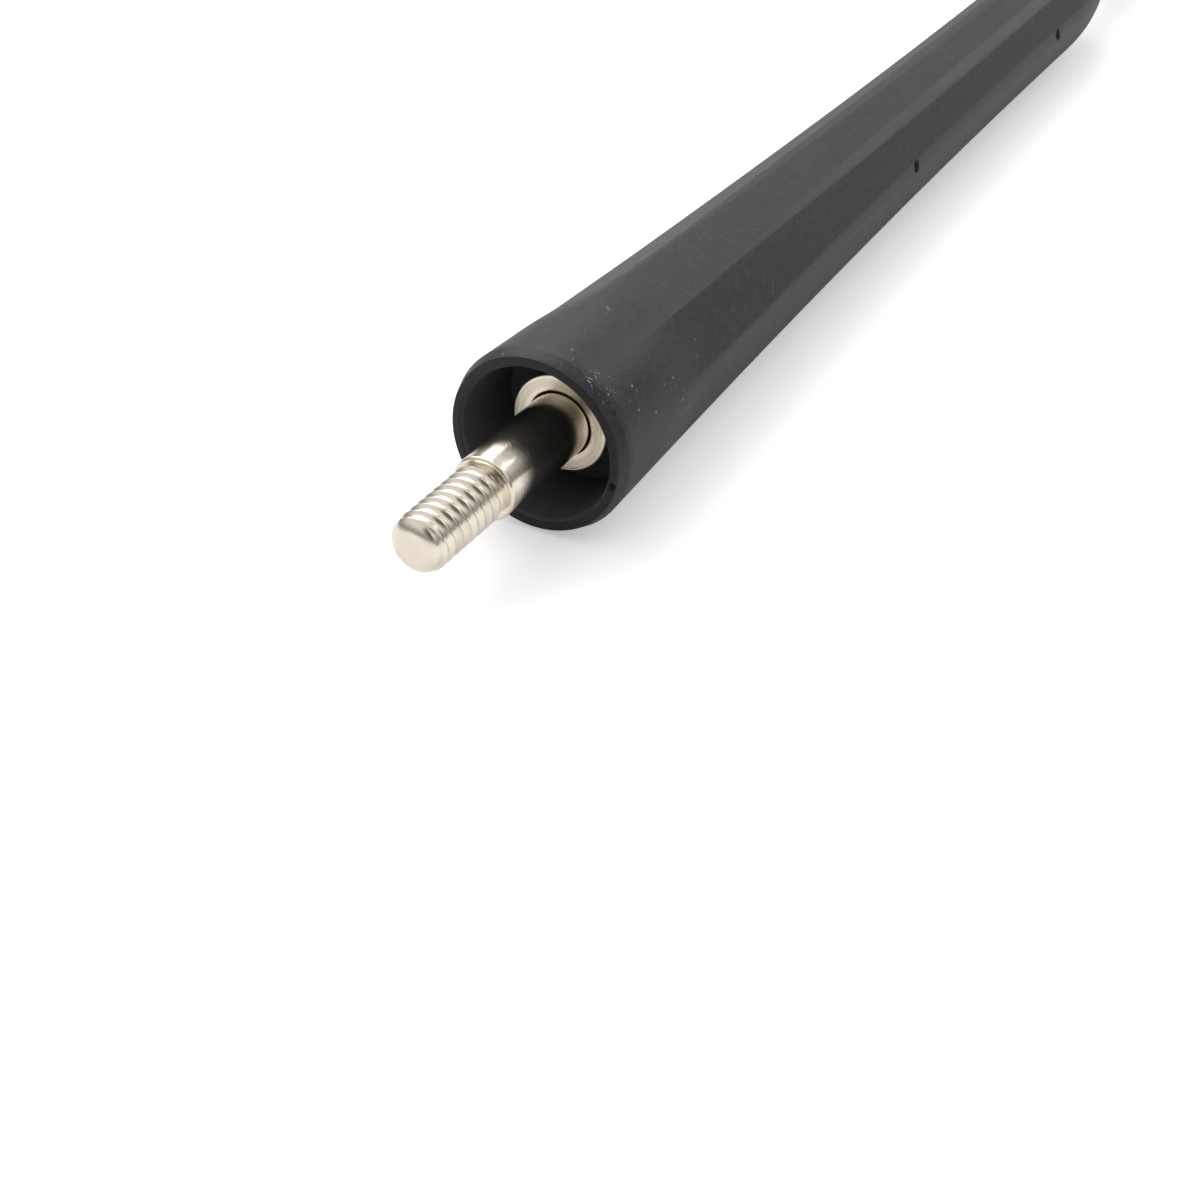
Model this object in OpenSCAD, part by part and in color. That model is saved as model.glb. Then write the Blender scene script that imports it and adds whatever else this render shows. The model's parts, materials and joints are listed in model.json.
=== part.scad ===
// Screw-in car mast aerial, lying as it comes to rest on its boot's mouth and its tip cap.
// Each piece is drawn standing on the mast's own axis, with z = 0 at the boot's mouth and
// the tip up, and is then laid down along +X.

/* [Mast] */
// Length from the boot's mouth to the tip
mast_length = 400; // [300:5:450]
// Turn of the mast about its own axis as it lies, in degrees
roll = 12.6; // [0:0.1:45]

/* [Boot] */
// Widest diameter, at the mouth
boot_mouth_d = 16.6; // [15.8:0.1:20]
// Diameter where the taper ends
boot_waist_d = 11.6; // [10.4:0.1:13]
// Length of the taper, from the mouth
boot_taper = 120; // [90:1:150]
// Length of the rounded end, if it ran to a point
boot_end = 20; // [14:0.5:26]
// Length of the lip's chamfer
lip_length = 1.2; // [0.6:0.1:2]
// Depth of the lip's chamfer
lip_drop = 0.4; // [0.2:0.05:0.5]
// Bore of the open mouth
mouth_bore = 14.5; // [14.2:0.1:14.8]
// Depth of the mouth around the ferrule
mouth_depth = 8; // [5:0.1:9]

/* [Flats of the boot] */
// Number of long flats
flats = 8; // [6:1:10]
// Depth of a flat below the round at the thin end
flat_depth_thin = 0.2; // [0.1:0.05:0.3]
// Depth of a flat below the round, if it ran on to the mouth
flat_depth_thick = 0.85; // [0.3:0.05:1]
// Distance from the mouth where the flats begin to show
flat_start = 7; // [4:0.5:12]
// Distance from the mouth where they have their full depth
flat_full = 19; // [14:0.5:30]
// Round left between two flats, in degrees
ridge_min = 3; // [2:0.5:8]

/* [Pin marks of the boot] */
// Diameter of the marks that the mould's core pins leave
pin_mark_d = 1.1; // [0.8:0.1:1.6]
// Depth of a mark
pin_mark_depth = 0.8; // [0.4:0.1:1.5]
// Distance of the first mark from the mouth
pin_mark_first = 67; // [50:1:80]
// Distance between the marks
pin_mark_step = 45; // [20:1:50]

/* [Ferrule] */
// Distance of its face behind the mouth
ferrule_recess = 4.2; // [3:0.1:4.6]
// Diameter of its head
ferrule_d = 8.9; // [8.6:0.1:9.6]
// Length of its head
ferrule_head = 11; // [9.5:0.5:16]
// Diameter of its crimp barrel
barrel_d = 6.2; // [5.4:0.1:8]
// Length of its crimp barrel
barrel_length = 13; // [9:0.5:20]
// Width of the groove that locks it in the boot
groove_w = 2; // [1:0.1:3]
// Depth of that groove
groove_depth = 0.6; // [0.3:0.1:0.9]
// Depth of the bore that takes the rod
rod_socket = 14; // [10:0.5:15]
// Length of the wider end of that bore, over the wire
wire_tuck = 4; // [2:0.5:6]

/* [Stud] */
// Diameter over the thread
thread_d = 5; // [4.6:0.1:5.4]
// Length of the thread
thread_length = 9.4; // [6:0.1:14]
// Chamfer of the thread's free end
thread_chamfer = 0.8; // [0.3:0.1:1]
// Diameter of the relief behind the thread
neck_d = 4.4; // [3.6:0.1:4.6]
// Length of the relief
neck_length = 0.8; // [0.5:0.1:2]
// Diameter of the smooth shank
shank_d = 5.7; // [5.6:0.05:5.8]
// Length of shank that stands out of the mouth
shank_reach = 8; // [4:0.1:12]
// Rounding of the shank's shoulder
shank_round = 0.25; // [0.1:0.05:0.8]
// Length of shank held in the ferrule
shank_grip = 7; // [4:0.5:8]

/* [Rod and windings] */
// Diameter of the glass-fibre rod
rod_d = 3; // [2.6:0.1:3.4]
// Diameter of the copper wire
wire_d = 0.35; // [0.2:0.05:0.5]
// Pitch of its ribs
wire_pitch = 4.7; // [4.2:0.1:6]
// Pitch of its lead inside the boot
lead_pitch = 27; // [20:1:40]
// Diameter of the noise cord
cord_d = 1.1; // [0.8:0.05:1.3]
// Pitch of the noise cord
cord_pitch = 29.5; // [22:0.5:36]
// Distance of the noise cord's start from the boot
cord_start = 6; // [3:0.5:20]
// Distance of the noise cord's end from the cap
cord_stop = 21.5; // [10:0.5:30]

/* [Sleeve] */
// Wall of the heat-shrunk sleeve
sleeve_wall = 0.35; // [0.25:0.05:0.5]
// Height of the ribs over the wire
rib_h = 0.42; // [0.3:0.02:0.6]
// Half the width of a rib's foot
rib_foot = 0.7; // [0.5:0.05:1]
// Length of sleeve inside the boot
sleeve_tuck = 12; // [8:0.5:20]

/* [Tip cap] */
// Diameter
cap_d = 7.8; // [7.4:0.1:9]
// Length
cap_length = 26; // [20:0.5:34]
// Rounding of its closed end
cap_round = 3.3; // [1:0.1:3.5]
// Thickness of its closed end
cap_end = 4; // [2:0.5:6]
// Chamfer of its open rim
cap_chamfer = 0.3; // [0.1:0.05:0.5]

/* [Fits] */
// Clearance all round where one piece sits in another
fit = 0.04; // [0.02:0.01:0.1]
// Clearance of the bores that the ribbed sleeve enters
sleeve_fit = 0.1; // [0.05:0.05:0.3]

/* [Hidden] */
$fn = 64;

// Stations along the mast, measured from the boot's mouth
ferrule_back = ferrule_recess + ferrule_head + barrel_length;
socket_bottom = ferrule_back - rod_socket;
groove_land = 2;
groove_mid = ferrule_recess + ferrule_head - groove_land - groove_w / 2;
cap_rim = mast_length - cap_length;
rod_top = mast_length - cap_end - fit;
// The sleeve stops short of the rod's end, and the wire stops short of the sleeve's
sleeve_short = 3;
sleeve_top = rod_top - sleeve_short;
wire_short = 2;

// Windings: a wound piece is a chain of flat-sided stretches, so each radius is taken at its
// corners and divided by the cosine of half a step, which keeps the sides clear of what they wrap
wire_steps = 10;
wire_sides = 4;
cord_steps = 12;
cord_sides = 6;
function wrap(r, step) = (r + fit / 2) / cos(step / 2);
wire_r = wrap(rod_d / 2, 360 / wire_steps) + wire_d / 2;
wire_top_r = wire_r + wire_d / 2;
cord_r = wrap(wire_top_r, 360 / cord_steps) + cord_d / 2;

// Sleeve: it is drawn straight from the round of the cord to the round of the whip. Columns of its
// skin keep a fixed angle to the cord: its top, its two shoulders, the hump's feet, the far side
hump_foot = 54;
far_side = 360 - 2 * hump_foot;
sleeve_bore_r = wrap(wire_top_r, far_side / 6);
sleeve_r = sleeve_bore_r + sleeve_wall;
rib_r = sleeve_r + rib_h;
cord_room = cord_d / 2 + fit;
function tangent(r, room) = acos((r - room) / cord_r);
function shoulder(r, room) =
    let (t = tangent(r, room)) atan2(room * sin(t), cord_r + room * cos(t));
function columns(near, count) = concat([0, near],
    [for (i = [0:count]) hump_foot + i * far_side / count], [360 - near]);
outer_columns = columns(shoulder(sleeve_r, cord_room + sleeve_wall), 7);
inner_columns = columns(shoulder(sleeve_bore_r, cord_room), 6);
hump_fade = 2;

// Boot: its end is cut off where the sleeve comes out, leaving this wall
end_wall = 0.45;
sleeve_hole_r = rib_r + sleeve_fit;
end_cut = boot_end * sqrt(1 - pow((sleeve_hole_r + end_wall) / (boot_waist_d / 2), 2));
boot_length = boot_taper + end_cut;
sleeve_bottom = boot_length - sleeve_tuck;
cord_bottom = boot_length + cord_start;
cord_top = cap_rim - cord_stop;
wire_bottom = ferrule_back - wire_tuck / 2;
wire_top = sleeve_top - wire_short;

// Lying down: the widest ring of the lip and the end of the cap's straight side touch the floor
cap_touch = mast_length - cap_round;
dip = atan((boot_mouth_d - cap_d) / 2 / (cap_touch - lip_length));
axis_height = lip_length * sin(dip) + boot_mouth_d / 2 * cos(dip);
stud_tip = shank_reach + neck_length + thread_length;
middle = (mast_length - stud_tip) / 2 * cos(dip);

module laid() {
    translate([-middle, 0, axis_height]) rotate([0, 90 + dip, 0]) rotate([0, 0, roll]) children();
}

function mix(a, b, t) = a + (b - a) * t;
function ease(t) = let (c = max(0, min(1, t))) c * c * (3 - 2 * c);
function around(r, a, z) = [r * cos(a), r * sin(a), z];

// Round of the boot at station z: chamfered lip, taper that flattens out, then half an ellipse
function taper_share(z) = pow((boot_taper - z) / (boot_taper - lip_length), 2);
function boot_round(z) =
    z < lip_length ? boot_mouth_d / 2 - lip_drop * (1 - z / lip_length) :
    z < boot_taper ? mix(boot_waist_d, boot_mouth_d, taper_share(z)) / 2 :
    boot_waist_d / 2 * sqrt(1 - pow((z - boot_taper) / boot_end, 2));
// Depth of the flats there before they fade out, and half the angle that one takes up
function flat_depth(z) = mix(flat_depth_thin, flat_depth_thick, pow(max(0, 1 - z / boot_taper), 3));
function flat_half(z) = let (s = min(z, boot_taper))
    min(180 / flats - ridge_min / 2, acos(1 - flat_depth(s) / boot_round(s)));
// How much of the flats shows, from none at the mouth and at the end's hole to all
function flat_share(z) =
    ease((z - flat_start) / (flat_full - flat_start)) * ease((boot_length - z) / end_cut);
function boot_r(z, a) = let (r = boot_round(z))
    mix(r, r * cos(flat_half(z)) / cos(a), abs(a) <= flat_half(z) ? flat_share(z) : 0);
// One ring of the boot: per flat both edges, two points between them and the middle of the ridge
function boot_ring(z) = let (half = flat_half(z))
    [for (k = [0:flats - 1], a = [-half, -half / 3, half / 3, half, 180 / flats])
        around(boot_r(z, a), 360 * k / flats + a, z)];

// Skin of a stack of closed rings, each a list of the same number of points
module loft(rings) {
    n = len(rings[0]);
    top = len(rings) - 1;
    polyhedron([for (ring = rings, p = ring) p], concat(
        [[for (i = [0:n - 1]) i]],
        [for (k = [0:top - 1], i = [0:n - 1], tri = let (j = (i + 1) % n, a = k * n, b = a + n)
            [[a + i, b + i, a + j], [a + j, b + i, b + j]]) tri],
        [[for (i = [n - 1:-1:0]) top * n + i]]));
}

// Inside of the boot: mouth, ferrule seat with the rib that fills its groove, wire bore, sleeve bore
module boot_cavity() {
    head_r = ferrule_d / 2 + fit;
    rib_in = head_r - groove_depth;
    half_rib = groove_w / 2 - fit;
    shoulder = ferrule_recess + ferrule_head + fit;
    barrel_end = ferrule_back + fit;
    rotate_extrude() polygon([
        [0, -1], [mouth_bore / 2, -1], [mouth_bore / 2, mouth_depth],
        [head_r, mouth_depth], [head_r, groove_mid - half_rib],
        [rib_in, groove_mid - half_rib], [rib_in, groove_mid + half_rib],
        [head_r, groove_mid + half_rib], [head_r, shoulder],
        [barrel_d / 2 + fit, shoulder], [barrel_d / 2 + fit, barrel_end],
        [wire_top_r + fit, barrel_end], [wire_top_r + fit, sleeve_bottom - fit],
        [sleeve_hole_r, sleeve_bottom - fit], [sleeve_hole_r, boot_length + 1], [0, boot_length + 1]]);
}

module boot() {
    lip_rings = [0, lip_length];
    fade_rings = [for (i = [0:4]) mix(flat_start, flat_full, i / 4)];
    taper_rings = [for (i = [1:6]) mix(flat_full, boot_taper, i / 6)];
    end_rings = [for (i = [1:5]) boot_taper + end_cut * sin(90 * i / 5)];
    pin_ridge = 5;
    pin_angle = (pin_ridge + 0.5) * 360 / flats;
    pin_over = 1;
    color([0.16, 0.16, 0.17]) laid() difference() {
        loft([for (z = concat(lip_rings, fade_rings, taper_rings, end_rings)) boot_ring(z)]);
        boot_cavity();
        for (i = [0:1]) {
            z = pin_mark_first + i * pin_mark_step;
            rotate([0, 0, pin_angle]) translate([boot_round(z) - pin_mark_depth, 0, z])
                rotate([0, 90, 0]) cylinder(d = pin_mark_d, h = pin_mark_depth + pin_over, $fn = 24);
        }
    }
}

module ferrule() {
    head_r = ferrule_d / 2;
    shank_bore_r = shank_d / 2 + fit;
    edge = 0.25;
    color([0.78, 0.76, 0.7]) laid() rotate_extrude() polygon([
        [shank_bore_r + edge, ferrule_recess], [head_r - edge, ferrule_recess],
        [head_r, ferrule_recess + edge], [head_r, groove_mid - groove_w / 2],
        [head_r - groove_depth, groove_mid - groove_w / 2],
        [head_r - groove_depth, groove_mid + groove_w / 2], [head_r, groove_mid + groove_w / 2],
        [head_r, ferrule_recess + ferrule_head], [barrel_d / 2, ferrule_recess + ferrule_head],
        [barrel_d / 2, ferrule_back], [wire_top_r + fit, ferrule_back],
        [wire_top_r + fit, ferrule_back - wire_tuck], [rod_d / 2 + fit, ferrule_back - wire_tuck],
        [rod_d / 2 + fit, socket_bottom], [0, socket_bottom],
        [0, ferrule_recess + shank_grip + fit], [shank_bore_r, ferrule_recess + shank_grip + fit],
        [shank_bore_r, ferrule_recess + edge]]);
}

// The thread itself is left plain at its outer diameter
module stud() {
    shoulder = -shank_reach;
    thread_foot = shoulder - neck_length;
    grip_end = ferrule_recess + shank_grip;
    edge = 0.3;
    neck_slope = 0.2;
    color([0.82, 0.8, 0.74]) laid() rotate_extrude() polygon(concat(
        [[0, -stud_tip], [thread_d / 2 - thread_chamfer, -stud_tip],
        [thread_d / 2, thread_chamfer - stud_tip], [thread_d / 2, thread_foot],
        [neck_d / 2, thread_foot + neck_slope], [neck_d / 2, shoulder]],
        [for (a = [0:30:90])
            [shank_d / 2 - shank_round * (1 - sin(a)), shoulder + shank_round * (1 - cos(a))]],
        [[shank_d / 2, grip_end - edge], [shank_d / 2 - edge, grip_end], [0, grip_end]]));
}

module core_rod() {
    color([0.86, 0.82, 0.66]) laid()
        translate([0, 0, socket_bottom + fit]) cylinder(d = rod_d, h = rod_top - socket_bottom - fit);
}

// A strand wound round the mast: angles says how far round each point is, heights how far along
module strand(angles, heights, r, d, sides) {
    last = len(angles) - 1;
    loft([for (i = [0:last])
        let (lo = max(0, i - 1), hi = min(last, i + 1),
            slope = atan((heights[hi] - heights[lo]) / ((angles[hi] - angles[lo]) * PI / 180 * r)))
        [for (k = [0:sides - 1])
            let (b = 360 * k / sides, out = d / 2 * cos(b), side = d / 2 * sin(b))
            around(r + out, angles[i], heights[i] + side * cos(slope))
                + side * sin(slope) * [sin(angles[i]), -cos(angles[i]), 0]]]);
}

// Angle of the wire and of the noise cord at height z, both wound as a right-hand thread
rib_bottom = sleeve_bottom - wire_pitch;
function wire_angle(z) =
    z < rib_bottom ? 360 * (z - rib_bottom) / lead_pitch : 360 * (z - rib_bottom) / wire_pitch;
function cord_angle(z) = 360 * z / cord_pitch;

module antenna_wire() {
    first = wire_angle(wire_bottom);
    lead_count = ceil(-first / 360 * wire_steps);
    rib_count = floor(wire_angle(wire_top) / 360 * wire_steps);
    heights = concat([for (i = [0:lead_count - 1]) mix(wire_bottom, rib_bottom, i / lead_count)],
        [for (i = [0:rib_count]) rib_bottom + i * wire_pitch / wire_steps]);
    color([0.72, 0.42, 0.2]) laid()
        strand([for (z = heights) wire_angle(z)], heights, wire_r, wire_d, wire_sides);
}

module noise_cord() {
    count = ceil(cord_angle(cord_top - cord_bottom) / 360 * cord_steps);
    heights = [for (i = [0:count]) mix(cord_bottom, cord_top, i / count)];
    color([0.85, 0.85, 0.82]) laid()
        strand([for (z = heights) cord_angle(z)], heights, cord_r, cord_d, cord_sides);
}

// Radius of the hump at the angle a from the cord, for a round of radius r and room round the cord:
// the round of the cord, the straight stretch, then the round of the whip
function hump_r(a, r, room) =
    let (b = a > 180 ? 360 - a : a, t = tangent(r, room))
    b <= shoulder(r, room) + 0.01 ?
        cord_r * cos(b) + sqrt(max(0, pow(room, 2) - pow(cord_r * sin(b), 2))) :
    b < t ? r / cos(t - b) : r;
// The skin turns with the cord in steps, so the hump is drawn wider by half a step's cosine
skin_step = 26;
row_height = cord_pitch * skin_step / 360;
// How much of the hump is there at height z: it dies away a row past the cord's two ends
function hump_share(z) = ease((z - cord_bottom + row_height + hump_fade) / hump_fade)
    * ease((cord_top + row_height + hump_fade - z) / hump_fade);
function drawn(a, z, r, room) = mix(r, max(r, hump_r(a, r, room) / cos(skin_step / 2)), hump_share(z));
function outer_r(a, z, rib) =
    max(sleeve_r + (rib ? rib_h : 0), drawn(a, z, sleeve_r, cord_room + sleeve_wall));
function inner_r(a, z) = drawn(a, z, sleeve_bore_r, cord_room);

// Rows of the skin run along the wire: a rib's foot, its crest, its other foot and the middle
// of the stretch to the next rib. Seen from the turning cord, the wire's pitch is longer.
seen_pitch = 1 / (1 / wire_pitch - 1 / cord_pitch);
row_offsets = [for (z = [-rib_foot, 0, rib_foot, wire_pitch / 2]) z * seen_pitch / wire_pitch];
// Height below the sleeve where the wire, seen from the cord, passes column 0 of the skin
wire_seen = (wire_angle(sleeve_bottom) - cord_angle(sleeve_bottom)) / 360;
skin_from = sleeve_bottom - (1 + wire_seen - floor(wire_seen)) * seen_pitch;

module sleeve() {
    columns = len(outer_columns);
    rows = len(row_offsets);
    turns = ceil((sleeve_top - skin_from - row_offsets[0]) / seen_pitch) + 1;
    spiral = turns * columns;
    // Point number i of the skin's long row is in column i % columns
    function spiral_z(i, row) =
        skin_from + seen_pitch * (floor(i / columns) + outer_columns[i % columns] / 360) + row_offsets[row];
    skin = [for (i = [0:spiral - 1], row = [0:rows - 1])
        let (z = spiral_z(i, row), a = outer_columns[i % columns])
        around(outer_r(a, z, row == 1), a + cord_angle(z), z)];
    end_rings = [for (z = [sleeve_bottom, sleeve_top], a = outer_columns)
        around(sleeve_r, a + cord_angle(z), z)];
    // Rows that would pass an end of the sleeve are gathered in that end's ring
    function corner(i, row) = row == rows ? corner(i + columns, 0) :
        spiral_z(i, row) <= sleeve_bottom ? spiral * rows + i % columns :
        i >= spiral || spiral_z(i, row) >= sleeve_top ? spiral * rows + columns + i % columns :
        i * rows + row;
    outer_faces = [for (i = [0:spiral - 2], row = [0:rows - 1])
        let (a = corner(i, row), b = corner(i + 1, row), c = corner(i, row + 1), d = corner(i + 1, row + 1))
        for (tri = [[a, c, b], [b, c, d]])
        if (tri[0] != tri[1] && tri[1] != tri[2] && tri[2] != tri[0]) tri];
    bore_columns = len(inner_columns);
    bore_count = ceil((sleeve_top - sleeve_bottom) / row_height);
    bore = [for (k = [0:bore_count], a = inner_columns)
        let (z = mix(sleeve_bottom, sleeve_top, k / bore_count))
        around(inner_r(a, z), a + cord_angle(z), z)];
    bore_at = len(skin) + len(end_rings);
    bore_faces = [for (k = [0:bore_count - 1], j = [0:bore_columns - 1])
        let (n = (j + 1) % bore_columns, lo = bore_at + k * bore_columns, hi = lo + bore_columns)
        for (tri = [[lo + j, lo + n, hi + j], [lo + n, hi + n, hi + j]]) tri];
    ring_at = [spiral * rows, spiral * rows + columns];
    color([0.2, 0.2, 0.21]) laid() polyhedron(concat(skin, end_rings, bore),
        concat(outer_faces, bore_faces, end_faces(ring_at[0], bore_at, false),
        end_faces(ring_at[1], bore_at + bore_count * bore_columns, true)));
}

// Flat end of the sleeve: a walk round both of its rings, which have different columns, takes a
// step on whichever ring is behind
function end_faces(outer, inner, up) =
    let (n = len(outer_columns), m = len(inner_columns), steps = walk(0, 0, n, m))
    [for (s = steps) let (tri = s[2] == 0 ? [outer + s[0], outer + (s[0] + 1) % n, inner + s[1] % m]
        : [outer + s[0] % n, inner + (s[1] + 1) % m, inner + s[1]])
        up ? [tri[0], tri[2], tri[1]] : tri];
function angle_at(list, i) = i < len(list) ? list[i] : 360;
function walk(i, j, n, m) = i == n && j == m ? [] :
    j == m || (i < n && angle_at(outer_columns, i + 1) <= angle_at(inner_columns, j + 1)) ?
    concat([[i, j, 0]], walk(i + 1, j, n, m)) : concat([[i, j, 1]], walk(i, j + 1, n, m));

module tip_cap() {
    bore_r = rib_r + sleeve_fit;
    top = mast_length;
    r = cap_d / 2;
    steps = 8;
    color([0.06, 0.06, 0.07]) laid() rotate_extrude() polygon(concat(
        [[bore_r, cap_rim], [r - cap_chamfer, cap_rim], [r, cap_rim + cap_chamfer]],
        [for (i = [0:steps]) let (a = 90 * i / steps)
            [r - cap_round * (1 - cos(a)), top - cap_round * (1 - sin(a))]],
        [[0, top], [0, top - cap_end], [bore_r, top - cap_end]]));
}

boot();
ferrule();
stud();
core_rod();
antenna_wire();
noise_cord();
sleeve();
tip_cap();
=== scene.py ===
# A screw-in car mast aerial, lying on its boot's mouth and its tip cap on a pale floor.
# The sections follow the aerial as it is put together: stud, ferrule, rod and windings,
# sleeve, boot and tip cap, then the floor and the light.
import json
import math

import bmesh
import bpy
from mathutils import Matrix, Vector


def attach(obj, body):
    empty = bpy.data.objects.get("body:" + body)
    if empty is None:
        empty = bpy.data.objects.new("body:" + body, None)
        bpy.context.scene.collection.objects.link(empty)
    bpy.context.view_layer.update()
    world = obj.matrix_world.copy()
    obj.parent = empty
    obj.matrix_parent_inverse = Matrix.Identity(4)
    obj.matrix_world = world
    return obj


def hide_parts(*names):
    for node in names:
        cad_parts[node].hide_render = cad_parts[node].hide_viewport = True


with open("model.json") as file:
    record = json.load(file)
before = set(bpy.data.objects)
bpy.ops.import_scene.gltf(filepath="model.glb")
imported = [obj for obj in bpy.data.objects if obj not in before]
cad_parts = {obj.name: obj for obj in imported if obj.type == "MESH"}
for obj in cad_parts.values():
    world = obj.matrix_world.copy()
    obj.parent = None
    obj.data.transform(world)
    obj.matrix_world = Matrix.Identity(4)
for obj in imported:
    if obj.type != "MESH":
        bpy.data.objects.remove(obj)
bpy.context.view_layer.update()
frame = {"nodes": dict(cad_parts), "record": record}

# The mast's own line. Every piece is turned upright on it, with height 0 at the boot's mouth and
# the tip up, and is then laid down where the stud's thread says that the mast lies.
MM = 0.001
THREAD_MIDDLE = -13.1 * MM
ROLL = math.radians(12.6)

thread_mount = next(mount for mount in frame["record"]["mounts"] if mount["name"] == "stud_thread")
tip_way = -Vector(thread_mount["axis"])
mouth_middle = Vector(thread_mount["pos_m"]) - THREAD_MIDDLE * tip_way
lean = math.pi / 2 + math.atan2(-tip_way.z, tip_way.x)
lay_down = (Matrix.Translation(mouth_middle) @ Matrix.Rotation(lean, 4, "Y")
            @ Matrix.Rotation(ROLL, 4, "Z"))


# Camera: it looks down on the open mouth, which keeps its place in the photograph's frame,
# and the mast runs away from it to the right.
PHOTO_SIZE = 1200
MOUTH_ACROSS = 533.7
MOUTH_DOWN = 445.7
SENSOR = 36
LENS = 65.4
TILT = math.radians(34.7)
TURNED = math.radians(29.06)
MOUTH_AWAY = 178.5 * MM
NEAREST = 5 * MM

forward = Vector((math.cos(TILT) * math.cos(TURNED), math.cos(TILT) * math.sin(TURNED), -math.sin(TILT)))
right = forward.cross(Vector((0, 0, 1))).normalized()
up = right.cross(forward)
mouth_right = (MOUTH_ACROSS - PHOTO_SIZE / 2) / PHOTO_SIZE * SENSOR / LENS
mouth_up = (PHOTO_SIZE / 2 - MOUTH_DOWN) / PHOTO_SIZE * SENSOR / LENS
camera_data = bpy.data.cameras.new("camera")
camera_data.lens = LENS
camera_data.sensor_width = SENSOR
camera_data.clip_start = NEAREST
camera = bpy.data.objects.new("camera", camera_data)
camera.rotation_euler = forward.to_track_quat("-Z", "Y").to_euler()
camera.location = mouth_middle - MOUTH_AWAY * (forward + mouth_right * right + mouth_up * up)
bpy.context.scene.collection.objects.link(camera)
bpy.context.scene.camera = camera


# Stud: a brass screw, turned and nickel plated. Its smooth shank is held in the ferrule, and its
# right-hand thread goes into the roof base. The free end is flat in the middle and well rounded.
STUD_TIP = -18.2 * MM
TIP_RISE = 0.04 * MM
TIP_FLAT_R = 0.75 * MM
DOME_WIDTH = 1.6 * MM
DOME_LENGTH = 1.25 * MM
THREAD_R = 2.5 * MM
THREAD_FOOT = -8.8 * MM
THREAD_RUN_OUT = 0.2 * MM
THREAD_PITCH = 1.08 * MM
THREAD_DEPTH = 0.32 * MM
THREAD_CREST = 0.1
THREAD_ROWS = 190
NECK_R = 2.2 * MM
NECK_SLOPE = 0.25 * MM
SHOULDER = -8.0 * MM
SHOULDER_STEP = 0.02 * MM
SHANK_R = 2.85 * MM
SHANK_ROUND = 0.25 * MM
SHANK_GRIP = 11.2 * MM
NEXT_ROW = 0.05 * MM
DOUBLES = 0.001 * MM
NICKEL = (0.86, 0.80, 0.70)
NICKEL_SHADE = (0.60, 0.51, 0.38)
NICKEL_PITS = 0.022 * MM
SHANK_MARKS = 5200
SHANK_MARK_DEPTH = 0.003 * MM
SHANK_ROUGHNESS = (0.09, 0.14)
THREAD_ROUGHER = 0.08


class Shade:
    """A socket of a finish, so that a pattern reads as a sum."""

    def __init__(self, finish, socket):
        self.finish = finish
        self.socket = socket

    def _maths(self, operation, first, second=None):
        values = {0: first} if second is None else {0: first, 1: second}
        return self.finish.node("ShaderNodeMath", {"operation": operation}, values)

    def __add__(self, other):
        return self._maths("ADD", self, other)

    def __radd__(self, other):
        return self._maths("ADD", other, self)

    def __sub__(self, other):
        return self._maths("SUBTRACT", self, other)

    def __rsub__(self, other):
        return self._maths("SUBTRACT", other, self)

    def __mul__(self, other):
        return self._maths("MULTIPLY", self, other)

    def __rmul__(self, other):
        return self._maths("MULTIPLY", other, self)

    def __pow__(self, other):
        return self._maths("POWER", self, other)

    def __lt__(self, other):
        return self._maths("LESS_THAN", self, other)

    def __gt__(self, other):
        return self._maths("GREATER_THAN", self, other)

    def __abs__(self):
        return self._maths("ABSOLUTE", self)


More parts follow.
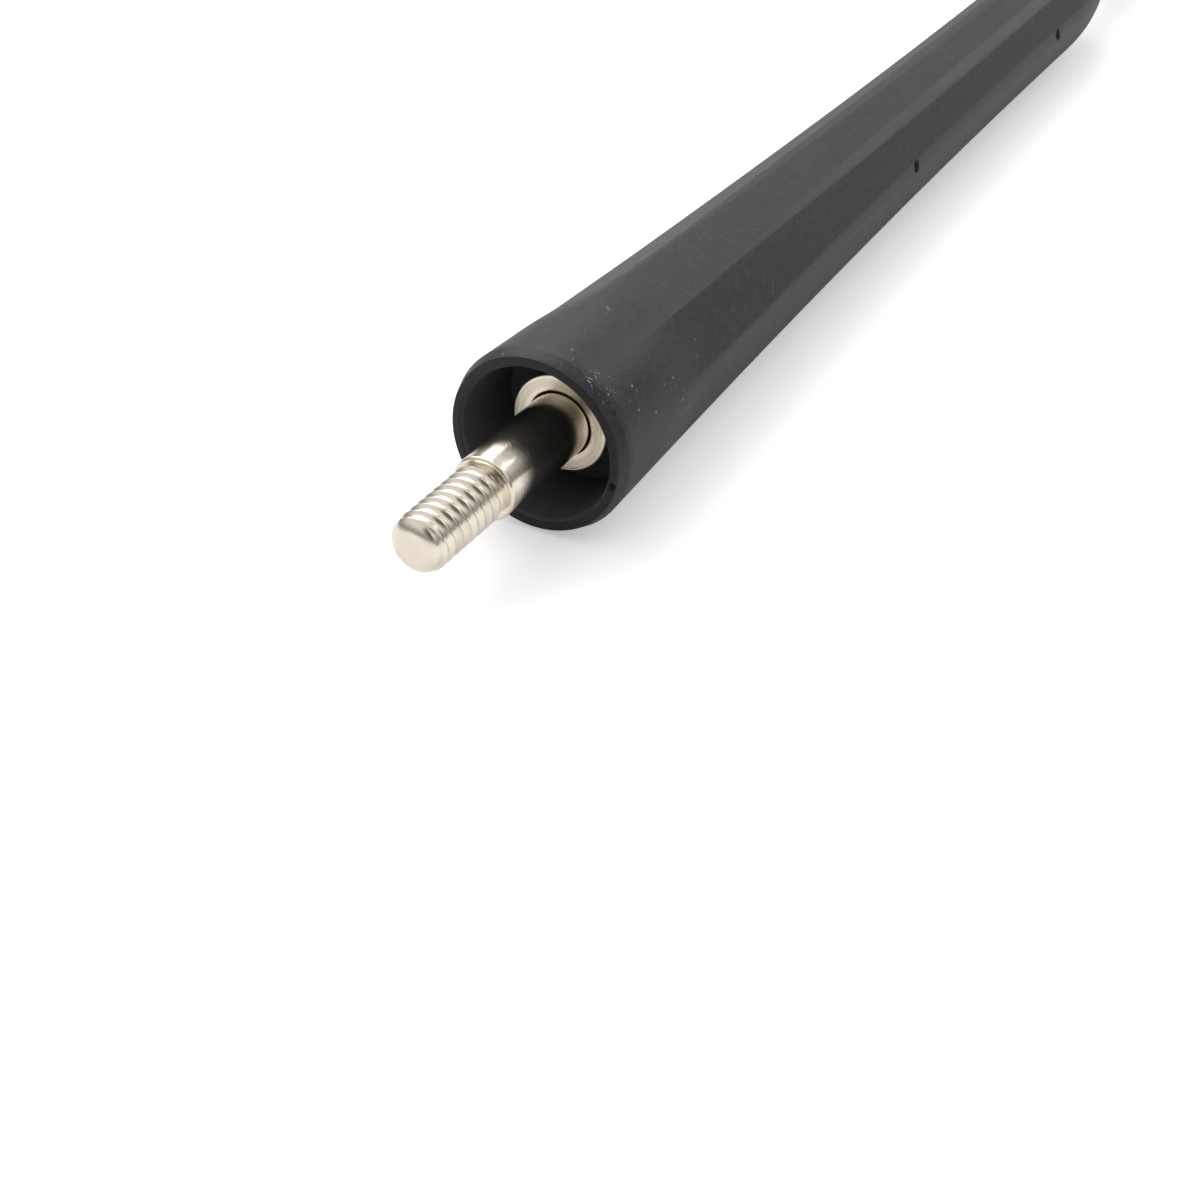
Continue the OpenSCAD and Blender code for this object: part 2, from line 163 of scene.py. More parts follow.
class Finish:
    """The nodes of a material or of the room, and the places that their patterns read."""

    def __init__(self, owner):
        self.owner = owner
        owner.use_nodes = True
        self.tree = owner.node_tree

    def node(self, kind, settings=None, sockets=None, out=0):
        """A node with its settings made first, then its sockets given values or links."""
        made = self.tree.nodes.new(kind)
        for name, value in (settings or {}).items():
            setattr(made, name, value)
        for name, value in (sockets or {}).items():
            self.give(made.inputs[name], value)
        return Shade(self, made.outputs[out])

    def give(self, socket, value):
        """A link from a pattern, or a plain number, vector or colour."""
        if isinstance(value, Shade):
            self.tree.links.new(value.socket, socket)
        elif socket.type == "RGBA":
            socket.default_value = (*value, 1)
        else:
            socket.default_value = value

    def surface(self, sockets):
        """Gives the shader its sockets, and hands over the finished material."""
        shader = self.tree.nodes["Principled BSDF"]
        for name, value in sockets.items():
            self.give(shader.inputs[name], value)
        return self.owner

    def on_mast(self):
        """Object coordinates turned back to the upright mast, in metres."""
        back = lay_down.inverted()
        return self.node("ShaderNodeMapping", sockets={
            "Vector": self.node("ShaderNodeTexCoord", out="Object"),
            "Location": back.translation, "Rotation": back.to_euler()})

    def parts(self, vector):
        """The x, y and z of a vector."""
        first = self.node("ShaderNodeSeparateXYZ", sockets={0: vector})
        return [Shade(self, out) for out in first.socket.node.outputs]

    def stretch(self, vector, scale):
        """The same places, drawn closer where a scale is under 1, so that a pattern runs long."""
        return self.node("ShaderNodeMapping", sockets={"Vector": vector, "Scale": scale})

    def noise(self, vector, per_metre, detail, rough):
        """A cloudy pattern of 0 to 1."""
        return self.node("ShaderNodeTexNoise", sockets={
            "Vector": vector, "Scale": per_metre, "Detail": detail, "Roughness": rough})

    def fade(self, value, low, high, first=0.0, last=1.0):
        """A value between first and last as the other goes from low to high, with soft ends."""
        return self.node("ShaderNodeMapRange", {"interpolation_type": "SMOOTHSTEP"}, {
            "Value": value, "From Min": low, "From Max": high, "To Min": first, "To Max": last})

    def blend(self, share, first, second):
        """A colour between two others, which are a Mix node's sockets 6 and 7."""
        return self.node("ShaderNodeMix", {"data_type": "RGBA"},
                         {"Factor": share, 6: first, 7: second}, out=2)

    def bump(self, height, depth, strength, under=None):
        """A normal from a height of 0 to 1 that stands for a depth in metres."""
        sockets = {"Height": height, "Distance": depth, "Strength": strength}
        if under is not None:
            sockets["Normal"] = under
        return self.node("ShaderNodeBump", sockets=sockets)


def turn(outline, steps, closed=False):
    """A bmesh turned round the mast from the (radius, height) points of an outline."""
    form = bmesh.new()
    points = [form.verts.new((radius, 0, height)) for radius, height in outline]
    ends = points[1:] + points[:1] if closed else points[1:]
    edges = [form.edges.new(pair) for pair in zip(points, ends)]
    bmesh.ops.spin(form, geom=points + edges, cent=(0, 0, 0), axis=(0, 0, 1),
                   angle=math.tau, steps=steps, use_merge=True)
    bmesh.ops.remove_doubles(form, verts=form.verts, dist=DOUBLES)
    bmesh.ops.recalc_face_normals(form, faces=form.faces)
    return form


def reshape(form, rule):
    """Moves each point of a turned form: rule takes and gives radius, angle and height."""
    for vert in form.verts:
        radius, angle, height = rule(vert.co.xy.length, math.atan2(vert.co.y, vert.co.x), vert.co.z)
        vert.co = (radius * math.cos(angle), radius * math.sin(angle), height)


def lay(form, name, finish, node, sharp):
    """Lays a form down on the mast's line, as the piece that stands for a CAD node."""
    bmesh.ops.transform(form, matrix=lay_down, verts=form.verts)
    mesh = bpy.data.meshes.new(name)
    form.to_mesh(mesh)
    form.free()
    mesh.shade_smooth()
    mesh.set_sharp_from_angle(angle=math.radians(sharp))
    mesh.materials.append(finish)
    piece = bpy.data.objects.new(name, mesh)
    bpy.context.scene.collection.objects.link(piece)
    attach(piece, "root")
    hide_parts(node)


def arc(radius, height, size, start, stop, count, length=None):
    """Points of a rounding about (radius, height), from one angle to another in degrees."""
    turns = [math.radians(start + (stop - start) * i / count) for i in range(count + 1)]
    return [(radius + size * math.cos(t), height + (length or size) * math.sin(t)) for t in turns]


def run(first, last, count):
    """Evenly spaced points of a straight stretch, without its last one."""
    return [(first[0] + (last[0] - first[0]) * i / count, first[1] + (last[1] - first[1]) * i / count)
            for i in range(count)]


def cut_thread(radius, angle, height):
    """Lets a right-hand thread into the stud, which runs out at the neck."""
    if radius < NECK_R - THREAD_DEPTH or height > THREAD_FOOT + THREAD_RUN_OUT:
        return radius, angle, height
    across = abs((height / THREAD_PITCH - angle / math.tau) % 1 - 0.5) * 2
    flank = max(0.0, (across - THREAD_CREST) / (1 - THREAD_CREST))
    return min(radius, THREAD_R - THREAD_DEPTH * math.sin(math.pi / 2 * flank)), angle, height


def nickel(name, marks_per_metre, mark_depth, roughness, face=False):
    """Plated brass with turning marks: rings on a face, fine rounds along a shank."""
    finish = Finish(bpy.data.materials.new(name))
    place = finish.on_mast()
    x, y, z = finish.parts(place)
    from_axis = (x * x + y * y) ** 0.5
    lathe_way, other_way = (from_axis, z) if face else (z, from_axis)
    rounds = finish.node("ShaderNodeCombineXYZ", sockets={"X": lathe_way, "Y": other_way * 0.02})
    marks = finish.noise(rounds, per_metre=marks_per_metre, detail=3, rough=0.7)
    bands = finish.noise(rounds, per_metre=1500, detail=2, rough=0.6)
    cloud = finish.noise(place, per_metre=300, detail=3, rough=0.5)
    pits = finish.noise(place, per_metre=4000, detail=4, rough=0.65)
    tint = finish.fade(bands * 0.6 + cloud * 0.4, 0.38, 0.66)
    worn = finish.fade(marks, 0.42, 0.58) * 0.6 + tint * 0.4 if face else tint * 0.5
    threaded = finish.fade(z, THREAD_FOOT, SHOULDER, THREAD_ROUGHER, 0.0)
    pitted = finish.bump(pits, NICKEL_PITS, strength=0.6)
    return finish.surface({
        "Base Color": finish.blend(worn, NICKEL, NICKEL_SHADE),
        "Metallic": 1.0,
        "Roughness": finish.fade(cloud, 0.3, 0.7, *roughness) + threaded,
        "Normal": finish.bump(marks, mark_depth, strength=0.8, under=pitted)})


tip_flat_end = (THREAD_R - DOME_WIDTH, STUD_TIP + TIP_RISE)
dome_top = STUD_TIP + TIP_RISE + DOME_LENGTH
neck_foot = THREAD_FOOT + NECK_SLOPE
stud_outline = (
    [(0, STUD_TIP)]
    + run((TIP_FLAT_R, STUD_TIP + TIP_RISE / 4), tip_flat_end, 4)
    + arc(THREAD_R - DOME_WIDTH, dome_top, DOME_WIDTH, 270, 360, 24, DOME_LENGTH)[:-1]
    + run((THREAD_R, dome_top), (THREAD_R, THREAD_FOOT), THREAD_ROWS)
    + run((THREAD_R, THREAD_FOOT), (NECK_R, neck_foot), 8)
    + run((NECK_R, neck_foot), (NECK_R, SHOULDER), 4)
    + [(NECK_R + SHOULDER_STEP, SHOULDER)]
    + arc(SHANK_R - SHANK_ROUND, SHOULDER + SHANK_ROUND, SHANK_ROUND, 270, 360, 8)
    + run((SHANK_R, SHOULDER + SHANK_ROUND + NEXT_ROW), (SHANK_R, SHANK_GRIP), 24)
    + [(SHANK_R, SHANK_GRIP), (0, SHANK_GRIP)])
stud_form = turn(stud_outline, steps=120)
reshape(stud_form, cut_thread)
shank_nickel = nickel("nickel_shank", SHANK_MARKS, SHANK_MARK_DEPTH, SHANK_ROUGHNESS)
lay(stud_form, "screw_stud", shank_nickel, "stud", sharp=55)


# Ferrule: a turned brass collar, nickel plated, moulded into the boot. Only its flat ring face
# shows, round the stud, and behind it a crimp barrel holds the rod.
FACE = 4.2 * MM
FACE_EDGE = 0.15 * MM
FERRULE_R = 4.45 * MM
FERRULE_HEAD = 15.2 * MM
BARREL_R = 3.1 * MM
BARREL_END = 28.2 * MM
STUD_BORE_R = 2.93 * MM
STUD_BORE_END = 11.3 * MM
ROD_BORE_R = 2.1 * MM
FACE_MARKS = 9000
FACE_MARK_DEPTH = 0.03 * MM
FACE_ROUGHNESS = (0.26, 0.34)

ferrule_outline = (
    arc(STUD_BORE_R + FACE_EDGE, FACE + FACE_EDGE, FACE_EDGE, 180, 270, 5)
    + run((STUD_BORE_R + 2 * FACE_EDGE, FACE), (FERRULE_R - 2 * FACE_EDGE, FACE), 8)
    + arc(FERRULE_R - FACE_EDGE, FACE + FACE_EDGE, FACE_EDGE, 270, 360, 5)
    + [(FERRULE_R, FERRULE_HEAD), (BARREL_R, FERRULE_HEAD), (BARREL_R, BARREL_END),
       (ROD_BORE_R, BARREL_END), (ROD_BORE_R, STUD_BORE_END), (STUD_BORE_R, STUD_BORE_END)])
ferrule_form = turn(ferrule_outline, steps=128, closed=True)
face_nickel = nickel("nickel_face", FACE_MARKS, FACE_MARK_DEPTH, FACE_ROUGHNESS, face=True)
lay(ferrule_form, "ring_ferrule", face_nickel, "ferrule", sharp=30)


# Rod and windings: a glass-fibre rod with the aerial's copper wire wound along it, and a nylon
# cord over that against wind noise. All three are hidden inside, as the CAD nodes have them.
FIBRE_PALE = (0.78, 0.74, 0.58)
FIBRE_DARK = (0.62, 0.57, 0.40)
COPPER = (0.66, 0.30, 0.14)
COPPER_DARK = (0.42, 0.16, 0.07)
CORD_PALE = (0.74, 0.74, 0.71)
CORD_SHADE = (0.60, 0.60, 0.57)
STREAK_DEPTH = 0.02 * MM


def strands(name, first, second, along, metallic, roughness):
    """A drawn or pulled stock. Its streaks run along it, and are longer where along is smaller."""
    finish = Finish(bpy.data.materials.new(name))
    drawn_out = finish.stretch(finish.on_mast(), (1, 1, along))
    streaks = finish.noise(drawn_out, per_metre=900, detail=4, rough=0.6)
    return finish.surface({
        "Base Color": finish.blend(finish.fade(streaks, 0.35, 0.65), first, second),
        "Metallic": metallic,
        "Roughness": finish.fade(streaks, 0.3, 0.7, roughness, roughness + 0.12),
        "Normal": finish.bump(streaks, STREAK_DEPTH, strength=0.5)})


fibre = strands("glass_fibre", FIBRE_PALE, FIBRE_DARK, along=0.02, metallic=0.0, roughness=0.35)
wire = strands("enamelled_copper", COPPER, COPPER_DARK, along=1, metallic=1.0, roughness=0.25)
cord = strands("nylon_cord", CORD_PALE, CORD_SHADE, along=0.3, metallic=0.0, roughness=0.4)
for node_name, stock in (("core_rod", fibre), ("antenna_wire", wire), ("noise_cord", cord)):
    node_mesh = frame["nodes"][node_name].data
    node_mesh.materials.clear()
    node_mesh.materials.append(stock)


# Sleeve: a thin black tube shrunk with hot air over the rod and its windings. The wire shows as
# narrow ribs, and the noise cord lifts it into one long hump with a crease at its foot.
SLEEVE_BOTTOM = 124.13 * MM
SLEEVE_TOP = 392.9 * MM
SLEEVE_R = 2.44 * MM
SLEEVE_ROWS = 1130
SLEEVE_STEPS = 72
RIB_START = 119.43 * MM
RIB_PITCH = 4.7 * MM
RIB_HEIGHT = 0.42 * MM
RIB_HALF = 0.6 * MM
RIB_SHARPNESS = 1.6
RIB_ON_HUMP = 0.25
SAG = 0.1 * MM
CORD_PITCH = 29.5 * MM
CORD_R = 2.62 * MM
CORD_ROOM = 0.96 * MM
CORD_BOTTOM = 142.13 * MM
CORD_TOP = 352.5 * MM
CORD_FADE = 1.6 * MM
CORD_TANGENT = math.acos((SLEEVE_R - CORD_ROOM) / CORD_R)
CORD_BROW = math.atan2(CORD_ROOM * math.sin(CORD_TANGENT), CORD_R + CORD_ROOM * math.cos(CORD_TANGENT))
SLEEVE_BLACK = (0.030, 0.030, 0.033)
SLEEVE_WORN = (0.052, 0.052, 0.056)
SLEEVE_GRAIN = 0.03 * MM
WORN_ABOVE = (0.2 * MM, 1.0 * MM)


def soft_step(value):
    """From 0 to 1 with soft ends, as the value goes from 0 to 1."""
    value = min(1.0, max(0.0, value))
    return value * value * (3 - 2 * value)


def hump_over_cord(aside):
    """Radius at an angle from the cord: over it to its brow, then drawn straight to the round."""
    if aside < CORD_BROW:
        over = CORD_ROOM ** 2 - (CORD_R * math.sin(aside)) ** 2
        return CORD_R * math.cos(aside) + math.sqrt(max(0.0, over))
    if aside < CORD_TANGENT:
        return SLEEVE_R / math.cos(CORD_TANGENT - aside)
    return SLEEVE_R


def sleeve_skin(radius, angle, height):
    """Radius of the shrunk sleeve over wire and cord, with the stretches between ribs drawn in."""
    if radius < SLEEVE_R / 2:
        return radius, angle, height
    along = (height - RIB_START) / RIB_PITCH - angle / math.tau
    from_rib = abs((along + 0.5) % 1 - 0.5) * RIB_PITCH
    rib = RIB_HEIGHT * math.exp(-(from_rib / RIB_HALF) ** RIB_SHARPNESS)
    ribbed = SLEEVE_R + rib - SAG * math.sin(math.pi * (along % 1))
    turned = (angle - math.tau * height / CORD_PITCH) % math.tau
    hump = hump_over_cord(min(turned, math.tau - turned))
    share = (soft_step((height - CORD_BOTTOM + CORD_FADE) / CORD_FADE)
             * soft_step((CORD_TOP + CORD_FADE - height) / CORD_FADE))
    humped = SLEEVE_R + (hump + RIB_ON_HUMP * rib - SLEEVE_R) * share
    return max(ribbed, humped), angle, height


def shrink_black():
    """Matt polyolefin with a fine rough grain, paler where the ribs rub."""
    finish = Finish(bpy.data.materials.new("shrink_sleeve"))
    place = finish.on_mast()
    grain = finish.noise(place, per_metre=6500, detail=5, rough=0.7)
    cloud = finish.noise(place, per_metre=260, detail=4, rough=0.6)
    x, y, z = finish.parts(place)
    proud = finish.fade((x * x + y * y) ** 0.5, *(SLEEVE_R + above for above in WORN_ABOVE))
    worn = finish.fade(cloud, 0.35, 0.7) * 0.5 + proud * 0.3
    return finish.surface({
        "Base Color": finish.blend(worn, SLEEVE_BLACK, SLEEVE_WORN),
        "Roughness": finish.fade(cloud, 0.3, 0.7, 0.5, 0.62),
        "Specular IOR Level": 0.4,
        "Normal": finish.bump(grain, SLEEVE_GRAIN, strength=0.5)})


sleeve_outline = (
    [(0, SLEEVE_BOTTOM)]
    + run((SLEEVE_R, SLEEVE_BOTTOM), (SLEEVE_R, SLEEVE_TOP), SLEEVE_ROWS)
    + [(SLEEVE_R, SLEEVE_TOP), (0, SLEEVE_TOP)])
sleeve_form = turn(sleeve_outline, SLEEVE_STEPS)
reshape(sleeve_form, sleeve_skin)
lay(sleeve_form, "shrunk_sleeve", shrink_black(), "sleeve", sharp=80)


# Boot: one moulding of black rubbery plastic over the ferrule and the foot of the whip. Its eight
# flats fade into a round open mouth. Core pins left two holes, the mould's halves a thin line, and
# the gate a rough mark on the lip.
MOUTH_R = 8.3 * MM
WAIST_R = 5.8 * MM
TAPER = 120 * MM
END_LENGTH = 20 * MM
BOOT_END = 136.13 * MM
END_EDGE = 0.12 * MM
LIP = 1.2 * MM
LIP_DROP = 0.4 * MM
LIP_EDGE = 0.1 * MM
LIP_INNER_EDGE = 0.4 * MM
LIP_FACE = 0.01 * MM
LIP_ROWS = (0.25 * MM, 0.5 * MM, 0.8 * MM, 1.1 * MM)
RECESS_R = 6.95 * MM
RECESS_DEPTH = 8.0 * MM
WHIP_HOLE_R = 2.98 * MM
HOLE_EDGE = 0.1 * MM
SEAT_GAP = 0.05 * MM
SKIN = 0.02 * MM
FLATS = 8
SECTOR = math.tau / FLATS
COLUMNS_PER_FLAT = 36
EDGE_COLUMN = 15
EDGE_ANGLE = SECTOR * EDGE_COLUMN / COLUMNS_PER_FLAT
ANGLE_SLACK = 0.001
RIDGE_MIN = math.radians(3)
FLAT_DEPTH_THIN = 0.2 * MM
FLAT_DEPTH_THICK = 0.85 * MM
FLAT_START = 7 * MM
FLAT_FULL = 19 * MM
FLAT_CROWN = 0.12
TAPER_ROW = 0.9 * MM
END_ROW = 0.5 * MM
PIN_ROW = 0.11 * MM
PIN_HOLES = (67 * MM, 112 * MM)
PIN_ANGLE = math.radians(247.5)
PIN_R = 0.55 * MM
PIN_EDGE = 0.35 * PIN_R
PIN_ROOM = 1.5 * PIN_R + 0.3 * MM
PIN_DEPTH = 0.8 * MM
GATE_ANGLE = math.radians(267)
GATE_R = 7.5 * MM
GATE_WIDTH = 0.28 * MM
GATE_LENGTH = 0.9 * MM
GATE_HEIGHT = 0.16 * MM
GATE_REACH = 1.4
SCAR_DEPTH = 0.64 * MM
SCAR_PLACE = 0.6
SCAR_NARROWER = 2.2
SCAR_REACH = 1.3
BOOT_BLACK = (0.0105, 0.011, 0.0145)
BOOT_BLOOM = (0.025, 0.026, 0.031)
BOOT_GRAIN = 0.05 * MM
# Painted shade for the lip's front face.
LIP_PAINTED_SHADE = (0.003, 0.0035, 0.005)
# Painted light for the wall of the mouth.
MOUTH_PAINTED_LIGHT = (0.065, 0.068, 0.076)
MOULD_LINE_HALF = 0.09 * MM
MOULD_LINE_HEIGHT = 0.05 * MM
DUST = (0.42, 0.41, 0.40)
PATCH_ANGLE = math.radians(207)
PATCH_R = 8.2 * MM
PATCH_HEIGHT = 1.9 * MM
PATCH_REACH = (0.6 * MM, 2.4 * MM)
DUST_REACH = (1 * MM, 24 * MM)
OUTSIDE_R = (5.2 * MM, 5.4 * MM)
OUTSIDE_START = 0.3 * MM
LIP_BLACK_DEPTH = (0.04 * MM, 0.12 * MM)
WALL_R = (6.98 * MM, 7.15 * MM)
WALL_END = 9 * MM
MOULD_LINE_START = 9 * MM


def boot_round(height):
    """Radius of the boot's round: chamfered lip, taper that flattens out, then half an ellipse."""
    if height < LIP:
        return MOUTH_R - LIP_DROP * (1 - height / LIP)
    if height < TAPER:
        return WAIST_R + (MOUTH_R - WAIST_R) * ((TAPER - height) / (TAPER - LIP)) ** 2
    return WAIST_R * math.sqrt(1 - ((height - TAPER) / END_LENGTH) ** 2)


def flat_half(height):
    """Half the angle that a flat takes up at this height."""
    height = min(height, TAPER)
    depth = FLAT_DEPTH_THIN + (FLAT_DEPTH_THICK - FLAT_DEPTH_THIN) * max(0, 1 - height / TAPER) ** 3
    return min(SECTOR / 2 - RIDGE_MIN / 2, math.acos(1 - depth / boot_round(height)))


def beside(angle, middle):
    """An angle counted from another, between minus and plus half a turn."""
    return (angle - middle + math.pi) % math.tau - math.pi


def gate_mark(radius, angle):
    """How far the gate's mark stands out of the lip, or is torn into it."""
    along = beside(angle, GATE_ANGLE) * radius / GATE_LENGTH
    across = (radius - GATE_R) / GATE_WIDTH
    raised = soft_step(GATE_REACH - math.hypot(along, across))
    torn = soft_step(SCAR_REACH - math.hypot((along - SCAR_PLACE) * SCAR_NARROWER, across))
    return GATE_HEIGHT * raised - SCAR_DEPTH * torn


def boot_skin(radius, angle, height):
    """Presses the flats and the pin holes into the round boot. Its columns follow the ridges."""
    if height < LIP_FACE:
        return radius, angle, height - gate_mark(radius, angle)
    if radius < boot_round(min(height, BOOT_END)) - SKIN or height < LIP:
        return radius, angle, height
    middle = round(angle / SECTOR) * SECTOR
    aside = angle - middle
    half = flat_half(height)
    if abs(aside) <= EDGE_ANGLE + ANGLE_SLACK:
        aside *= half / EDGE_ANGLE
        share = (soft_step((height - FLAT_START) / (FLAT_FULL - FLAT_START))
                 * soft_step((BOOT_END - height) / (BOOT_END - TAPER)))
        flat = radius * math.cos(half) / math.cos(aside)
        radius += share * (1 - FLAT_CROWN) * (flat - radius)
    else:
        beyond = (abs(aside) - EDGE_ANGLE) / (SECTOR / 2 - EDGE_ANGLE)
        aside = math.copysign(half + beyond * (SECTOR / 2 - half), aside)
    angle = middle + aside
    for pin_height in PIN_HOLES:
        reach = math.hypot(height - pin_height, beside(angle, PIN_ANGLE) * radius)
        radius -= PIN_DEPTH * soft_step((PIN_R - reach) / PIN_EDGE + 0.5)
    return radius, angle, height


def outer_rows():
    """Heights of the rows on the boot's outside, closer together round the pin holes."""
    rows = []
    height = LIP
    while height < BOOT_END:
        rows.append(height)
        if min(abs(height - pin) for pin in PIN_HOLES) < PIN_ROOM:
            height += PIN_ROW
        else:
            height += TAPER_ROW if height < TAPER else END_ROW
    return rows


def boot_black():
    """Satin black moulding: fine spark grain, a faint bloom, the mould line and some dust, with painted
    shade on the lip's front and painted light on the mouth's wall.
    """
    finish = Finish(bpy.data.materials.new("boot_rubber"))
    place = finish.on_mast()
    x, y, z = finish.parts(place)
    from_axis = (x * x + y * y) ** 0.5
    grain = finish.noise(place, per_metre=3000, detail=4, rough=0.65)
    cloud = finish.noise(finish.stretch(place, (1, 1, 0.35)), per_metre=240, detail=5, rough=0.6)
    fine = finish.noise(place, per_metre=1800, detail=3, rough=0.6)
    bloom = finish.fade(cloud * 0.3 + fine * 0.7, 0.40, 0.60)
    colour = finish.blend(bloom, BOOT_BLACK, BOOT_BLOOM)

    # Loose dust lies in patches, most of it near the mouth, and one streaky patch on the lip.
    grains = finish.node("ShaderNodeTexVoronoi", {"feature": "F1"}, {"Vector": place, "Scale": 1500})
    patches = finish.noise(place, per_metre=330, detail=2, rough=0.5)
    near_mouth = finish.fade(z, *DUST_REACH, 1.0, 0.12)
    loose = (finish.fade(grains, 0.12, 0.22, 1.0, 0.0)
             * finish.fade(patches, 0.55, 0.68) * near_mouth * (fine > 0.46))
    patch_x = PATCH_R * math.cos(PATCH_ANGLE)
    patch_y = PATCH_R * math.sin(PATCH_ANGLE)
    from_patch = ((x - patch_x) ** 2 + (y - patch_y) ** 2 + (z - PATCH_HEIGHT) ** 2) ** 0.5
    strokes = finish.noise(finish.stretch(place, (1, 0.3, 1)), per_metre=6000, detail=2, rough=0.5)
    streaky = finish.fade(from_patch, *PATCH_REACH, 1.0, 0.0) * finish.fade(strokes, 0.64, 0.70)
    dusty = loose + streaky
    outside = finish.fade(from_axis, *OUTSIDE_R) * (z > OUTSIDE_START)
    colour = finish.blend(dusty * outside, colour, DUST)

    # Painted shade: the lip's front face is darkened towards black.
    lip = finish.fade(z, *LIP_BLACK_DEPTH, 1.0, 0.0)
    colour = finish.blend(lip, colour, LIP_PAINTED_SHADE)
    # Painted light: the wall of the mouth is a paler grey than the boot, as if lit inside; it is also
    # rougher, as dull as it left the mould.
    inside = finish.fade(from_axis, *WALL_R, 1.0, 0.0) * (z < WALL_END)
    colour = finish.blend(inside, colour, MOUTH_PAINTED_LIGHT)
    beyond_mouth = z > MOULD_LINE_START
    mould_line = finish.fade(abs(y), MOULD_LINE_HALF / 3, MOULD_LINE_HALF, 1.0, 0.0) * beyond_mouth
    parted = finish.bump(1 - mould_line, MOULD_LINE_HEIGHT, strength=0.6)
    rough = finish.fade(cloud * 0.4 + fine * 0.6, 0.3, 0.7, 0.44, 0.56)
    return finish.surface({
        "Base Color": colour,
        "Roughness": rough + dusty * 0.3 + inside * 0.3,
        "Specular IOR Level": 0.4,
        "Normal": finish.bump(grain, BOOT_GRAIN, strength=0.7, under=parted)})


front_r = boot_round(0)
seat_r = FERRULE_R + SEAT_GAP
barrel_seat_r = BARREL_R + SEAT_GAP
barrel_seat_end = BARREL_END + 2 * SEAT_GAP
boot_outline = (
    run((seat_r, RECESS_DEPTH), (RECESS_R, RECESS_DEPTH), 6)
    + run((RECESS_R, RECESS_DEPTH), (RECESS_R, LIP_INNER_EDGE + NEXT_ROW), 40)
    + arc(RECESS_R + LIP_INNER_EDGE, LIP_INNER_EDGE, LIP_INNER_EDGE, 180, 270, 8)[:-1]
    + run((RECESS_R + LIP_INNER_EDGE, 0), (front_r - LIP_EDGE, 0), 8)
    + arc(front_r - LIP_EDGE, LIP_EDGE, LIP_EDGE, 270, 342, 5)
    + [(boot_round(height), height) for height in (*LIP_ROWS, *outer_rows())]
    + arc(boot_round(BOOT_END) - END_EDGE, BOOT_END - SKIN, END_EDGE, 20, 90, 4)
    + [(WHIP_HOLE_R + HOLE_EDGE, BOOT_END + HOLE_EDGE), (WHIP_HOLE_R, BOOT_END),
       (WHIP_HOLE_R, barrel_seat_end), (barrel_seat_r, barrel_seat_end),
       (barrel_seat_r, FERRULE_HEAD + SEAT_GAP), (seat_r, FERRULE_HEAD + SEAT_GAP)])
boot_form = turn(boot_outline, FLATS * COLUMNS_PER_FLAT, closed=True)
reshape(boot_form, boot_skin)
lay(boot_form, "moulded_boot", boot_black(), "boot", sharp=40)


# Tip cap: a short black cap with a rounded end and a crisp open rim, pushed over the sleeve's end
# and glued. It is far glossier than the sleeve.
CAP_RIM = 374 * MM
CAP_TOP = 400 * MM
CAP_R = 3.9 * MM
CAP_ROUND = 3.3 * MM
CAP_BORE_R = 2.98 * MM
CAP_END = 4 * MM
CAP_EDGE = 0.25 * MM
CAP_BLACK = (0.003, 0.0032, 0.0048)
CAP_SCUFF = (0.022, 0.022, 0.026)
CAP_LINES = 0.006 * MM


def cap_gloss():
    """Gloss black with faint lines along it and a few fine scuffs."""
    finish = Finish(bpy.data.materials.new("cap_black"))
    place = finish.on_mast()
    drawn = finish.noise(finish.stretch(place, (1, 1, 0.03)), per_metre=2600, detail=3, rough=0.6)
    cloud = finish.noise(place, per_metre=500, detail=4, rough=0.6)
    rubbed = finish.noise(finish.stretch(place, (1, 1, 0.4)), per_metre=1300, detail=5, rough=0.7)
    scuff = finish.fade(rubbed, 0.66, 0.72)
    return finish.surface({
        "Base Color": finish.blend(scuff * 0.5, CAP_BLACK, CAP_SCUFF),
        "Roughness": finish.fade(cloud, 0.3, 0.7, 0.09, 0.15) + scuff * 0.2,
        "Specular IOR Level": 0.4,
        "Coat Weight": 0.3,
        "Coat Roughness": 0.08,
        "Normal": finish.bump(drawn, CAP_LINES, strength=0.4)})


cap_outline = (
    run((CAP_BORE_R, CAP_RIM), (CAP_R - CAP_EDGE, CAP_RIM), 4)
    + arc(CAP_R - CAP_EDGE, CAP_RIM + CAP_EDGE, CAP_EDGE, 270, 360, 5)
    + run((CAP_R, CAP_RIM + CAP_EDGE + NEXT_ROW), (CAP_R, CAP_TOP - CAP_ROUND - NEXT_ROW), 24)
    + arc(CAP_R - CAP_ROUND, CAP_TOP - CAP_ROUND, CAP_ROUND, 0, 90, 20)
    + [(0, CAP_TOP), (0, CAP_TOP - CAP_END), (CAP_BORE_R, CAP_TOP - CAP_END)])
cap_form = turn(cap_outline, steps=96, closed=True)
lay(cap_form, "end_cap", cap_gloss(), "tip_cap", sharp=35)


# Floor: a pale sweep of paper, which shows white to the camera and keeps the mast's shadow.
# To polished metal it shows only a little of its glow.
FLOOR_SIZE = 12.0
PAPER = (0.90, 0.90, 0.90)
PAPER_FIBRE = (0.86, 0.86, 0.86)
PAPER_GLOW = 0.45
MIRROR_GLOW = 0.10


def paper():
    """Pale paper, matt and faintly fibrous."""
    finish = Finish(bpy.data.materials.new("paper"))
    straight = finish.node("ShaderNodeLightPath", out="Is Camera Ray")
    mirrored = finish.node("ShaderNodeLightPath", out="Is Glossy Ray")
    glow = finish.node("ShaderNodeEmission", sockets={
        "Color": PAPER, "Strength": straight * PAPER_GLOW + mirrored * MIRROR_GLOW})
    place = finish.node("ShaderNodeTexCoord", out="Object")
    fibre = finish.noise(place, per_metre=40, detail=3, rough=0.5)
    sheet = finish.node("ShaderNodeBsdfDiffuse", sockets={
        "Color": finish.blend(fibre * 0.05, PAPER, PAPER_FIBRE)})
    both = finish.node("ShaderNodeAddShader", sockets={0: glow, 1: sheet})
    finish.give(finish.tree.nodes["Material Output"].inputs["Surface"], both)
    return finish.owner


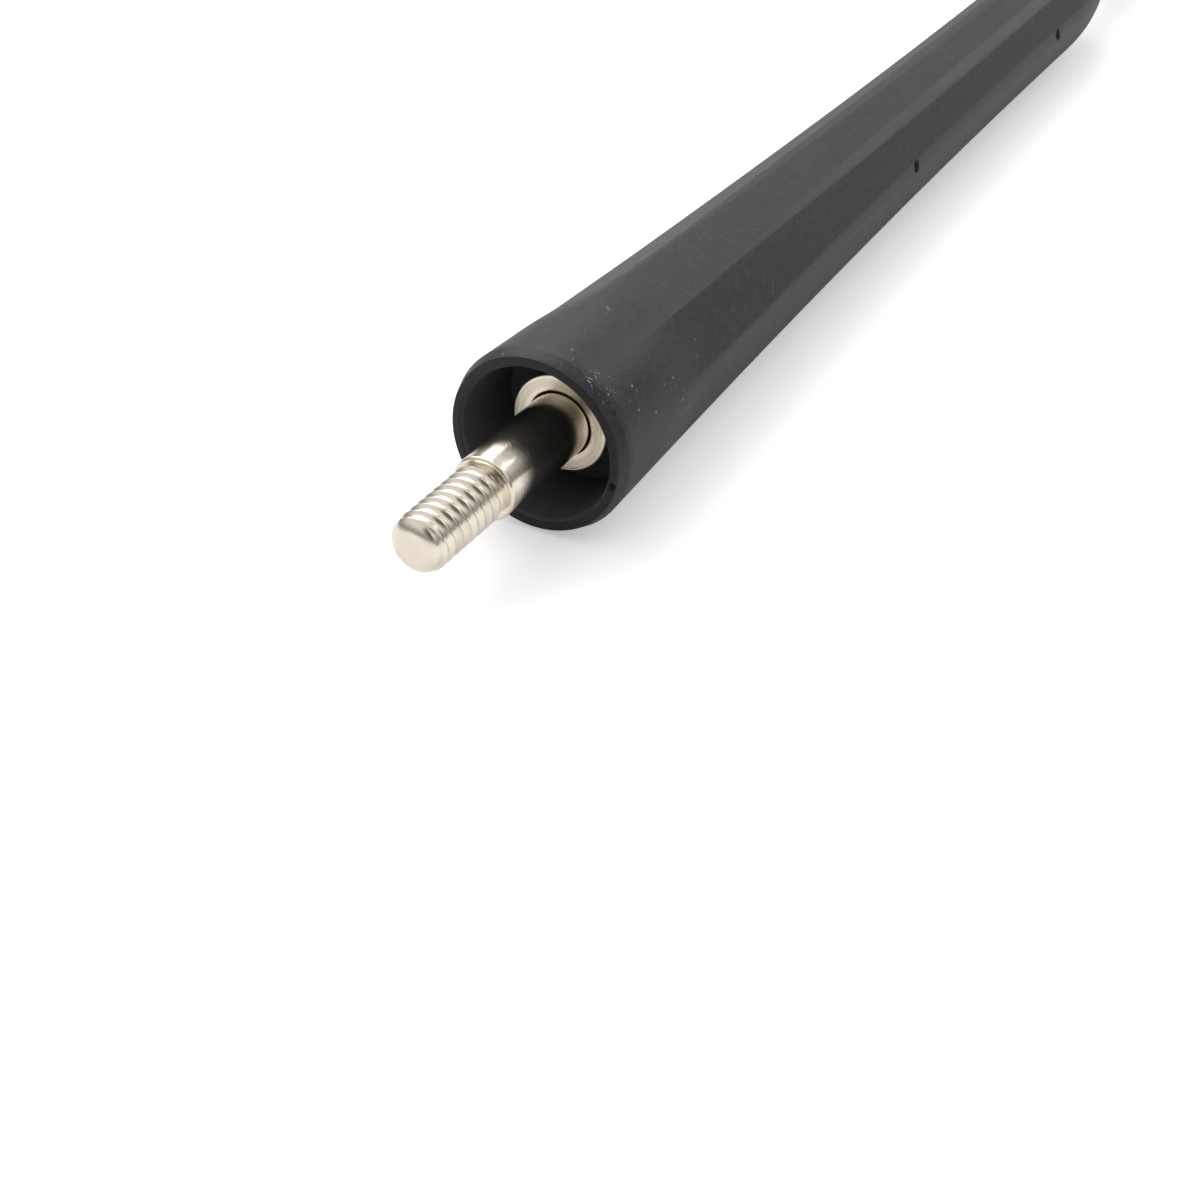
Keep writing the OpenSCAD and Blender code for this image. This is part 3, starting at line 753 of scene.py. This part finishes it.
floor_form = bmesh.new()
bmesh.ops.create_grid(floor_form, x_segments=1, y_segments=1, size=FLOOR_SIZE / 2)
floor_mesh = bpy.data.meshes.new("floor")
floor_form.to_mesh(floor_mesh)
floor_form.free()
floor_mesh.materials.append(paper())
floor = bpy.data.objects.new("floor", floor_mesh)
bpy.context.scene.collection.objects.link(floor)


# Light: a bright room, darker low down and brown in one direction, which gives the flats and the
# plating their tones. A large soft lamp hangs over the boot, and a small one stands beyond the tip.
HORIZON = 0.30
CEILING = 0.82
HORIZON_HEIGHT = 0.15
CEILING_HEIGHT = 0.62
WHITE = (1.0, 1.0, 1.0)
ROOM_BROWN = (0.20, 0.17, 0.125)
BROWN_WAY = Vector((-0.72, -0.40, 0.57))
BROWN_EDGE = 0.90
BROWN_CORE = 0.97
BOOT_MIDDLE = 60 * MM
TOP_LAMP_PLACE = Vector((0.40, 0.48, 0.78))
RIDGE_LAMP_AWAY = 0.8
RIDGE_ANGLE = math.radians(202.5)

studio = Finish(bpy.data.worlds.new("studio"))
bpy.context.scene.world = studio.owner
way = studio.node("ShaderNodeTexCoord")
room = studio.fade(studio.parts(way)[2], HORIZON_HEIGHT, CEILING_HEIGHT, HORIZON, CEILING)
toward_brown = studio.node("ShaderNodeVectorMath", {"operation": "DOT_PRODUCT"},
                           {0: way, 1: BROWN_WAY}, out="Value")
seen = studio.node("ShaderNodeLightPath", out="Is Camera Ray")
brown = studio.fade(toward_brown, BROWN_EDGE, BROWN_CORE) * (1 - seen)
backdrop = studio.tree.nodes["Background"].inputs
studio.give(backdrop["Color"], studio.blend(brown, WHITE, ROOM_BROWN))
studio.give(backdrop["Strength"], seen + (1 - seen) * room)


def soft_lamp(name, size, power, place, aim):
    """A square soft box that looks from one place at another."""
    lamp = bpy.data.lights.new(name, "AREA")
    lamp.shape = "SQUARE"
    lamp.size = size
    lamp.energy = power
    holder = bpy.data.objects.new(name, lamp)
    holder.location = place
    holder.rotation_euler = (aim - place).to_track_quat("-Z", "Y").to_euler()
    bpy.context.scene.collection.objects.link(holder)


# The small lamp glances off the boot's ridge that faces the camera.
boot_middle = mouth_middle + BOOT_MIDDLE * tip_way
ridge_normal = lay_down.to_3x3() @ Vector((math.cos(RIDGE_ANGLE), math.sin(RIDGE_ANGLE), 0))
sight = (camera.location - boot_middle).normalized()
glance = 2 * ridge_normal.dot(sight) * ridge_normal - sight
soft_lamp("top_lamp", size=0.9, power=5.8, place=boot_middle + TOP_LAMP_PLACE, aim=boot_middle)
soft_lamp("ridge_lamp", size=0.30, power=0.90, place=boot_middle + RIDGE_LAMP_AWAY * glance,
          aim=boot_middle)

bpy.context.scene.view_settings.view_transform = "Standard"
